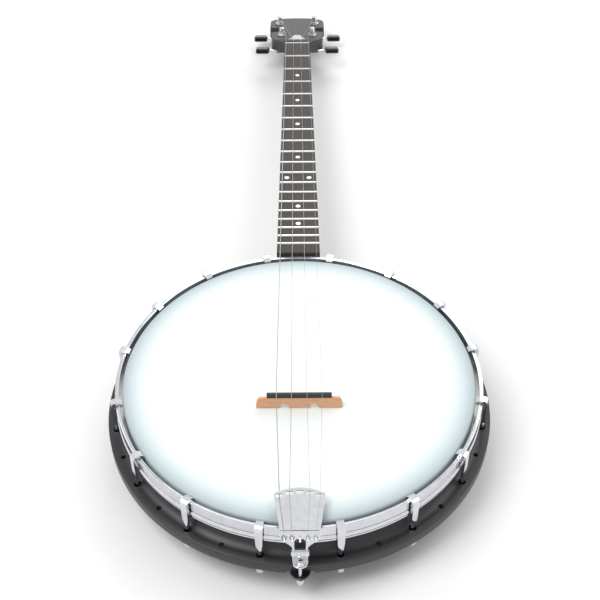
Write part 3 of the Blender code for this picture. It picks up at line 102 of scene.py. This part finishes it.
# noise with a grain of `size` mm, between two colours if they are given, with a little bump
# and change of gloss
def grained(made, size, stretch, low=None, high=None, bump=0.0, roughSpread=0.0):
    tree = made.node_tree
    shader = tree.nodes["Principled BSDF"]
    place = addNode(tree, "ShaderNodeTexCoord")
    mapped = addNode(tree, "ShaderNodeMapping", [("Vector", place.outputs["Object"])], Scale=stretch)
    noise = addNode(tree, "ShaderNodeTexNoise", [("Vector", mapped.outputs["Vector"])],
                    Scale=1 / (size * mm), Detail=grain["detail"], Roughness=grain["roughness"])
    if low:
        ramp = addNode(tree, "ShaderNodeValToRGB", [("Fac", noise.outputs["Fac"])])
        stops = ramp.color_ramp.elements
        for stop, colour, at in ((stops[0], low, "lowAt"), (stops[1], high, "highAt")):
            stop.color = linear(colour)
            stop.position = grain[at]
        tree.links.new(ramp.outputs["Color"], shader.inputs["Base Color"])
    if bump:
        lift = addNode(tree, "ShaderNodeBump", [("Height", noise.outputs["Fac"])],
                       Strength=bump, Distance=grain["bumpDepth"] * mm)
        tree.links.new(lift.outputs["Normal"], shader.inputs["Normal"])
    if roughSpread:
        base = shader.inputs["Roughness"].default_value
        spread = addNode(tree, "ShaderNodeMapRange", [("Value", noise.outputs["Fac"])])
        spread.inputs["To Min"].default_value = base - roughSpread
        spread.inputs["To Max"].default_value = base + roughSpread
        tree.links.new(spread.outputs["Result"], shader.inputs["Roughness"])
    return made


# injection moulded ABS, satin: a soft broad highlight over a faint mould texture, drawn coarser than it is
blackAbs = grained(newMaterial("black_abs", "1f2022", rough=0.42), 0.8, even,
                   "1b1c1e", "26272a", bump=0.12, roughSpread=0.04)
# frosted polyester film: a fine tooth, drawn coarser than it is, that keeps the highlight dull
headFilm = grained(newMaterial("head_film", "e6eeec", rough=0.5), 1.2, even, bump=0.05, roughSpread=0.04)
# nickel-chrome plating, polished: sharp reflections with a trace of haze
chrome = grained(newMaterial("bright_chrome", "d6d7da", rough=0.12, metal=1.0), 6.0, even,
                 "cfd0d4", "dcdde0", roughSpread=0.04)
# drawn carbon steel: greyer and duller than the plating
drawnSteel = grained(newMaterial("drawn_steel", "a3a3a2", rough=0.32, metal=1.0), 2.0, even,
                     "989897", "adadab", roughSpread=0.06)
# enamelled steel, black: a deep gloss
blackSteel = grained(newMaterial("black_enamel", "121213", rough=0.18, coat=0.4), 3.0, even,
                     "0f0f10", "171718", roughSpread=0.03)
# satin black lacquer sprayed over hardwood: the grain only just lifts the highlight
blackLacquer = grained(newMaterial("black_lacquer", "232427", rough=0.4), 3.0, alongNeck,
                       "1e1f22", "292a2e", bump=0.06, roughSpread=0.05)
# oiled dark wood, planed: dry, with short brown pores along the neck
darkWood = grained(newMaterial("dark_fingerboard_wood", "2b2826", rough=0.6), 0.9, alongNeck,
                   "211e1d", "3a3532", bump=0.35, roughSpread=0.08)
# ebony, sawn and sanded: near black, close pores, a dull sheen
ebony = grained(newMaterial("ebony", "1d1b1a", rough=0.5), 0.7, acrossBridge,
                "171515", "282423", bump=0.2, roughSpread=0.06)
# plain-sawn maple, sanded: pinkish, with a fine grain across the strings
maple = grained(newMaterial("maple", "d9a07a", rough=0.5), 0.8, acrossBridge,
                "cf946c", "e6b48f", bump=0.15, roughSpread=0.05)
# nickel silver wire, polished by the strings: a warm grey
nickelSilver = grained(newMaterial("nickel_silver", "cbc9c2", rough=0.2, metal=1.0), 2.0, even,
                       "c3c1ba", "d3d1ca", roughSpread=0.05)
# pearl celluloid, polished flush: pale clouds under a hard gloss
pearloid = grained(newMaterial("white_pearloid", "e9e8e4", rough=0.25, coat=0.3), 1.5, even,
                   "dcdad4", "f3f2ef")
# moulded black nut, filed: plain and half glossy
blackNut = newMaterial("black_nut", "17171a", rough=0.35)
# pale grey laminate, stamped: flat, a little cloudy, satin
greyLaminate = grained(newMaterial("light_grey_laminate", "c6c7c9", rough=0.4), 1.0, even,
                       "c0c1c3", "cccdcf", bump=0.03)
# moulded acrylic, black: wet-looking, with small hard highlights
buttonPlastic = newMaterial("gloss_black_acrylic", "101012", rough=0.12, coat=0.5)


# painted shade on the head film: white in the middle, grey towards the edge
filmPaintedShade = {
    "white": "e8f0ee", "shade": "c3cfd2", "edge": "a9b6ba",
    "shadeStart": 118, "rimInner": 133, "face": 139,
}


# painted shade: the film's colour greys from white towards its edge, where it rolls over the dark rim
def paintShadeByRadius(made, shadeTones):
    tree = made.node_tree
    place = addNode(tree, "ShaderNodeTexCoord")
    flat = addNode(tree, "ShaderNodeVectorMath", operation="MULTIPLY")
    tree.links.new(place.outputs["Object"], flat.inputs[0])
    flat.inputs[1].default_value = (1, 1, 0)
    reach = addNode(tree, "ShaderNodeVectorMath", operation="LENGTH")
    tree.links.new(flat.outputs["Vector"], reach.inputs[0])
    share = addNode(tree, "ShaderNodeMapRange", [("Value", reach.outputs["Value"])])
    share.inputs["From Min"].default_value = shadeTones["shadeStart"] * mm
    share.inputs["From Max"].default_value = shadeTones["face"] * mm
    ramp = addNode(tree, "ShaderNodeValToRGB", [("Fac", share.outputs["Result"])])
    ramp.color_ramp.elements[0].color = linear(shadeTones["white"])
    ramp.color_ramp.elements[1].color = linear(shadeTones["edge"])
    span = shadeTones["face"] - shadeTones["shadeStart"]
    middle = ramp.color_ramp.elements.new((shadeTones["rimInner"] - shadeTones["shadeStart"]) / span)
    middle.color = linear(shadeTones["shade"])
    tree.links.new(ramp.outputs["Color"], made.node_tree.nodes["Principled BSDF"].inputs["Base Color"])


# the head film gets its painted shade towards the edge
paintShadeByRadius(headFilm, filmPaintedShade)
print("materials made")


finishOf = {
    "rim": blackAbs, "head": headFilm, "tension_hoop": chrome, "flesh_hoop": drawnSteel,
    "coordinator_rod": drawnSteel, "rod_tail_nut": drawnSteel, "neck_bolt": drawnSteel,
    "truss_rod": drawnSteel, "neck": blackLacquer, "fingerboard": darkWood, "frets": nickelSilver,
    "position_dots": pearloid, "nut": blackNut, "truss_rod_cover": greyLaminate, "bridge": maple,
    "bridge_cap": ebony, "tailpiece_plate": chrome, "tailpiece_base": chrome,
    "tailpiece_bracket": blackSteel, "tailpiece_bolt": chrome,
}
for i in range(1, hookCount + 1):
    finishOf[f"hook_{i:02d}"] = chrome
for i in range(1, tunerCount + 1):
    finishOf[f"string_{i}"] = drawnSteel
    finishOf[f"tuner_button_{i}"] = buttonPlastic
    for kind in ("housing", "post", "shaft", "bushing"):
        finishOf[f"tuner_{kind}_{i}"] = chrome


# gives an object one finish
def paint(obj, material):
    obj.data.materials.clear()
    obj.data.materials.append(material)


for name, material in finishOf.items():
    paint(nodes[name], material)
print("CAD nodes painted")


# an own piece in the place of a CAD node: its finish and body
def keepPiece(obj, name):
    paint(obj, finishOf[name])
    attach(obj, bodyOf[name])
    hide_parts(name)


# a linked object from a bmesh, smooth below the sharp angle
def meshObject(name, bm, sharp=35):
    mesh = bpy.data.meshes.new(name)
    bm.to_mesh(mesh)
    bm.free()
    mesh.shade_smooth()
    mesh.set_sharp_from_angle(angle=math.radians(sharp))
    obj = bpy.data.objects.new(name, mesh)
    bpy.context.scene.collection.objects.link(obj)
    return obj


# a (radius, z) profile in mm turned about the pot's axis: a ring, or a disc whose two ends are filled
def turned(name, profile, steps, disc=False):
    bm = bmesh.new()
    loops = []
    for i in range(steps):
        a = 2 * math.pi * i / steps
        x, y = mm * math.cos(a), mm * math.sin(a)
        loops.append([bm.verts.new((r * x, r * y, z * mm)) for r, z in profile])
    count = len(profile)
    for i in range(steps):
        one, two = loops[i], loops[(i + 1) % steps]
        for j in range(count - 1 if disc else count):
            k = (j + 1) % count
            bm.faces.new((one[j], two[j], two[k], one[k]))
    if disc:
        bm.faces.new([loop[0] for loop in loops])
        bm.faces.new([loop[-1] for loop in loops])
    bmesh.ops.recalc_face_normals(bm, faces=bm.faces)
    return meshObject(name, bm)


def arcPoints(cx, cz, radius, start, end, count):
    points = []
    for i in range(count + 1):
        a = math.radians(start + (end - start) * i / count)
        points.append((cx + radius * math.cos(a), cz + radius * math.sin(a)))
    return points


film = {
    "middle": 60, "flat": 120, "face": 138.8, "collar": 141.1, "lip": 145.2,
    "thick": 0.4, "low": -17.0, "rollSteps": 6, "steps": 256,
}


# the film's face, its roll over the rim, the collar and the turned-out lip, then back inside
def makeHead():
    face, collar, lip = film["face"], film["collar"], film["lip"]
    thick, low = film["thick"], film["low"]
    roll = collar - face
    profile = [(film["middle"], 0), (film["flat"], 0)]
    profile += arcPoints(face, -roll, roll, 90, 0, film["rollSteps"])
    profile += [(collar, low + thick), (lip, low + thick), (lip, low), (collar - thick, low)]
    profile += arcPoints(face, -roll, roll - thick, 0, 90, film["rollSteps"])
    profile += [(film["middle"], -thick)]
    keepPiece(turned("head_skin", profile, film["steps"], disc=True), "head")


hoop = {
    "inner": 143.9, "outer": 147.3, "face": 146.8, "recess": 145.55, "low": -17.0, "shelf": -12.15,
    "groove": 0.55, "grooveFloor": 0.6, "innerEase": 0.3, "faceEase": 0.35, "faceLow": -8.1,
    "ledge": (-8.4, -8.9), "footTop": -16.7, "footIn": (0.4, 0.9),
    "beadIn": 2.6, "beadLevel": -12.9, "beadRadius": 3.1, "beadTurn": 50, "beadSteps": 8, "steps": 256,
}


# grooved top, plain face, round bead, and a recess behind for the edge of the head
def makeHoop():
    inner, face, low, shelf = hoop["inner"], hoop["face"], hoop["low"], hoop["shelf"]
    middle, half = (inner + hoop["outer"]) / 2, hoop["groove"]
    floor, ease = half * hoop["grooveFloor"], hoop["faceEase"]
    bead = arcPoints(face - hoop["beadIn"], hoop["beadLevel"], hoop["beadRadius"],
                     hoop["beadTurn"], -hoop["beadTurn"], hoop["beadSteps"])
    profile = [(inner + hoop["innerEase"], 0.0), (middle - half, 0.0), (middle - floor, -half)]
    profile += [(middle + floor, -half), (middle + half, 0.0)]
    profile += [(face - ease, 0.0), (face, -ease), (face, hoop["faceLow"])]
    profile += [(face - ease, z) for z in hoop["ledge"]]
    profile += [(min(r, hoop["outer"]), z) for r, z in bead]
    profile += [(face - hoop["footIn"][0], hoop["footTop"]), (face - hoop["footIn"][1], low)]
    profile += [(hoop["recess"], low), (hoop["recess"], shelf), (inner, shelf), (inner, -hoop["innerEase"])]
    keepPiece(turned("hoop_ring", profile, hoop["steps"]), "tension_hoop")


# a place in mm as metres
def metres(place):
    return Vector([v * mm for v in place])


# a cutter for a round hole; ends and radius in mm
def rod(bm, start, end, radius, sides=32):
    start, end = metres(start), metres(end)
    turn = (end - start).to_track_quat("Z", "Y").to_matrix().to_4x4()
    bmesh.ops.create_cone(bm, cap_ends=True, segments=sides, radius1=radius * mm, radius2=radius * mm,
                          depth=(end - start).length, matrix=Matrix.Translation((start + end) / 2) @ turn)


rimSize = {
    "bearing": 140.4, "round": 1.6, "top": -0.7, "sweep": 9.6, "flange": 155.9, "flangeTop": -31.0,
    "flangeLow": -40.7, "skirt": 138.5, "inner": 133.4, "foot": -65.0, "ease": 0.9,
    "lowEase": 0.5, "skirtEase": 0.8, "edgeEase": 0.6, "steps": 192,
    "holeCircle": 149.35, "hookHole": 2.8, "ventHole": 1.9, "holeLow": -45, "holeTop": -15,
    "boltPlaces": ((146, -24), (146, -50), (-146, -50)), "boltHole": 3.6, "boltReach": (0.85, 1.2),
    "notch": (21.0, 20.0, 4.0), "notchPlace": (0, -148.5, -40.4),
}


# hook holes with vent holes between them, but no vent under the neck or the tailpiece
def cutFlangeHoles(bm, d):
    for i in range(hookCount * 2):
        isHook = i % 2 == 1
        if not isHook and i in (0, hookCount):
            continue
        a = math.pi * i / hookCount
        x, y = d["holeCircle"] * math.sin(a), -d["holeCircle"] * math.cos(a)
        rod(bm, (x, y, d["holeLow"]), (x, y, d["holeTop"]), d["hookHole"] if isHook else d["ventHole"])


# the rods' and bolts' holes, and the notch under the flange for the tailpiece's bracket
def cutBoltHoles(bm, d):
    near, far = d["boltReach"]
    for y, z in d["boltPlaces"]:
        rod(bm, (0, y * near, z), (0, y * far, z), d["boltHole"])
    block = bmesh.ops.create_cube(bm, size=1.0)["verts"]
    bmesh.ops.scale(bm, vec=metres(d["notch"]), verts=block)
    bmesh.ops.translate(bm, vec=metres(d["notchPlace"]), verts=block)


# one moulding: bearing edge, sweep out to the flange, skirt and foot
def makeRim():
    d = rimSize
    top, skirt, inner, foot, edge = d["top"] - d["round"], d["skirt"], d["inner"], d["foot"], d["edgeEase"]
    profile = arcPoints(d["bearing"] - d["round"], top, d["round"], 90, 0, 6)
    profile += arcPoints(d["bearing"] + d["sweep"], d["flangeTop"] + d["sweep"], d["sweep"], 180, 270, 16)
    profile += arcPoints(d["flange"] - d["ease"], d["flangeTop"] - d["ease"], d["ease"], 90, 0, 4)
    profile += arcPoints(d["flange"] - d["lowEase"], d["flangeLow"] + d["lowEase"], d["lowEase"], 0, -90, 3)
    profile += [(skirt + d["skirtEase"], d["flangeLow"]), (skirt, d["flangeLow"] - d["skirtEase"])]
    profile += [(skirt, foot + edge), (skirt - edge, foot), (inner + edge, foot), (inner, foot + edge)]
    profile += [(inner, top - edge), (inner + edge, top)]
    rim = turned("moulded_rim", profile, d["steps"])
    bm = bmesh.new()
    cutFlangeHoles(bm, d)
    cutBoltHoles(bm, d)
    bmesh.ops.recalc_face_normals(bm, faces=bm.faces)
    cutter = meshObject("rim_cutter", bm)
    step = rim.modifiers.new("holes", "BOOLEAN")
    step.operation = "DIFFERENCE"
    step.solver = "EXACT"
    step.object = cutter
    graph = bpy.context.evaluated_depsgraph_get()
    mesh = bpy.data.meshes.new_from_object(rim.evaluated_get(graph))
    rim.modifiers.clear()
    rim.data = mesh
    mesh.set_sharp_from_angle(angle=math.radians(35))
    bpy.data.objects.remove(cutter, do_unlink=True)
    keepPiece(rim, "rim")


makeHead()
makeHoop()
makeRim()
print("head, hoop and rim made")


# width in mm of the eased edge of each piece that keeps its CAD shape
easing = {
    "neck": 0.5, "bridge": 0.35, "bridge_cap": 0.25, "tailpiece_plate": 0.2, "tailpiece_base": 0.25,
    "tailpiece_bracket": 0.3, "tailpiece_bolt": 0.2, "truss_rod_cover": 0.2, "nut": 0.2,
    "coordinator_rod": 0.2, "rod_tail_nut": 0.2, "neck_bolt": 0.2,
}
hookEase = 0.3
tunerEase = 0.15
button = {"ease": 0.5, "sharp": 25}
stringSharp = 50
cleaning = {"weld": 0.002, "flatWithin": 0.5}


# a piece cut to the CAD node's own shape, with eased edges and smooth round faces
def refine(name, edge=0.0, sharp=32):
    bm = bmesh.new()
    bm.from_mesh(nodes[name].data)
    bmesh.ops.remove_doubles(bm, verts=bm.verts, dist=cleaning["weld"] * mm)
    bmesh.ops.dissolve_limit(bm, angle_limit=math.radians(cleaning["flatWithin"]),
                             verts=bm.verts, edges=bm.edges)
    obj = meshObject(name + "_finished", bm, sharp)
    if edge:
        ease = obj.modifiers.new("eased_edges", "BEVEL")
        ease.width = edge * mm
        ease.segments = 2
        ease.limit_method = "ANGLE"
        ease.angle_limit = math.radians(sharp)
        ease.use_clamp_overlap = True
        ease.harden_normals = True
    keepPiece(obj, name)


for name, edge in easing.items():
    refine(name, edge)
for i in range(1, hookCount + 1):
    refine(f"hook_{i:02d}", hookEase)
for i in range(1, tunerCount + 1):
    for kind in ("housing", "post", "bushing"):
        refine(f"tuner_{kind}_{i}", tunerEase)
    refine(f"tuner_shaft_{i}")
    refine(f"tuner_button_{i}", button["ease"], button["sharp"])
    refine(f"string_{i}", sharp=stringSharp)
print("CAD shapes refined")


# at the photo's angle: place in mm, turns in degrees, focal length in pixels of the 600 pixel frame
camera = {
    "place": (0.6, -567.0, 614.1), "pitch": 43.13, "yaw": -0.05, "roll": -0.34,
    "focal": 1037.9, "frameWidth": 600, "sensor": 36, "clipStart": 0.01,
}


def makeCamera():
    cam = bpy.data.cameras.new("camera")
    cam.sensor_width = camera["sensor"]
    cam.lens = camera["focal"] / camera["frameWidth"] * cam.sensor_width
    cam.clip_start = camera["clipStart"]
    obj = bpy.data.objects.new("camera", cam)
    bpy.context.scene.collection.objects.link(obj)
    turn = Matrix.Rotation(math.radians(camera["yaw"]), 4, "Z")
    turn = turn @ Matrix.Rotation(math.pi / 2 - math.radians(camera["pitch"]), 4, "X")
    turn = turn @ Matrix.Rotation(math.radians(camera["roll"]), 4, "Z")
    obj.matrix_world = Matrix.Translation(Vector(camera["place"]) * mm) @ turn
    bpy.context.scene.camera = obj


# soft light on a plain pale floor; sizes and places in metres, powers in watts
studio = {
    "floor": "f2f2f2", "floorRough": 0.9, "floorHalf": 4, "floorGap": 0.0005,
    "white": (1, 1, 1, 1), "world": 0.55, "aim": (0, 0.1, 0),
    "lamps": {
        "key": {"place": (-0.7, -0.3, 1.3), "size": 0.9, "power": 14.0},
        "fill": {"place": (1.0, 0.4, 1.1), "size": 1.0, "power": 7.0},
        "back": {"place": (0.1, 1.3, 0.9), "size": 0.8, "power": 5.0},
    },
}


def areaLight(name, lamp):
    data = bpy.data.lights.new(name, "AREA")
    data.energy = lamp["power"]
    data.size = lamp["size"]
    obj = bpy.data.objects.new(name, data)
    bpy.context.scene.collection.objects.link(obj)
    place = Vector(lamp["place"])
    obj.location = place
    obj.rotation_euler = (Vector(studio["aim"]) - place).to_track_quat("-Z", "Y").to_euler()


def makeFloor():
    low = cadBox[0][2] - studio["floorGap"]
    bm = bmesh.new()
    bmesh.ops.create_grid(bm, x_segments=1, y_segments=1, size=studio["floorHalf"])
    bmesh.ops.translate(bm, vec=(0, 0, low), verts=bm.verts)
    bmesh.ops.recalc_face_normals(bm, faces=bm.faces)
    floor = meshObject("studio_floor", bm)
    floor.data.materials.append(newMaterial("pale_floor", studio["floor"], studio["floorRough"]))


# a dim white room that the camera and the metal see as plain white
def makeWorld():
    world = bpy.data.worlds.new("soft_room")
    world.use_nodes = True
    tree = world.node_tree
    background = tree.nodes["Background"]
    background.inputs["Color"].default_value = studio["white"]
    background.inputs["Strength"].default_value = studio["world"]
    white = addNode(tree, "ShaderNodeBackground", Strength=1.0, Color=studio["white"])
    ray = addNode(tree, "ShaderNodeLightPath")
    seen = addNode(tree, "ShaderNodeMath", operation="MAXIMUM")
    tree.links.new(ray.outputs["Is Camera Ray"], seen.inputs[0])
    tree.links.new(ray.outputs["Is Glossy Ray"], seen.inputs[1])
    mix = addNode(tree, "ShaderNodeMixShader", [("Fac", seen.outputs["Value"])])
    tree.links.new(background.outputs["Background"], mix.inputs[1])
    tree.links.new(white.outputs["Background"], mix.inputs[2])
    tree.links.new(mix.outputs["Shader"], tree.nodes["World Output"].inputs["Surface"])
    bpy.context.scene.world = world


makeCamera()
makeFloor()
makeWorld()
for name, lamp in studio["lamps"].items():
    areaLight(name, lamp)
bpy.context.scene.view_settings.view_transform = "Standard"
print("camera and light set")
